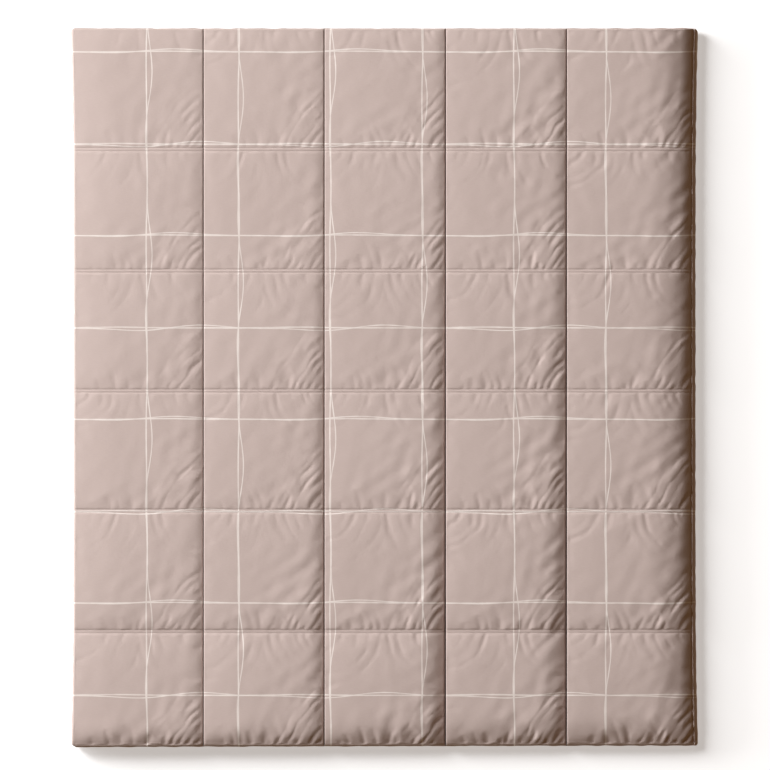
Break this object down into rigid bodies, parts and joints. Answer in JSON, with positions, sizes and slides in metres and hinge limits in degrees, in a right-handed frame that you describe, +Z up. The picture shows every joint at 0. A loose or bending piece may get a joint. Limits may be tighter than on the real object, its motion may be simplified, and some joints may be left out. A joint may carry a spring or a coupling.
{
  "type": "duvet",
  "caption": "Flat-lying box-quilted duvet with plump square puffs, gathered sewn channels, drawn-in sides and a pale hand-drawn windowpane print on dusty pink cotton.",
  "frame": {"origin": "on the surface that the duvet lies on, under the middle of its plan", "axes": "+X across the duvet's width, +Y along its length towards the head end, +Z up"},
  "size_m": [1.999, 2.2988, 0.0902],
  "materials": {
    "cotton": "matt dusty pink cotton cover with a printed pale line check"
  },
  "bodies": {
    "root": {"duvet": "cotton"}
  },
  "joints": []
}
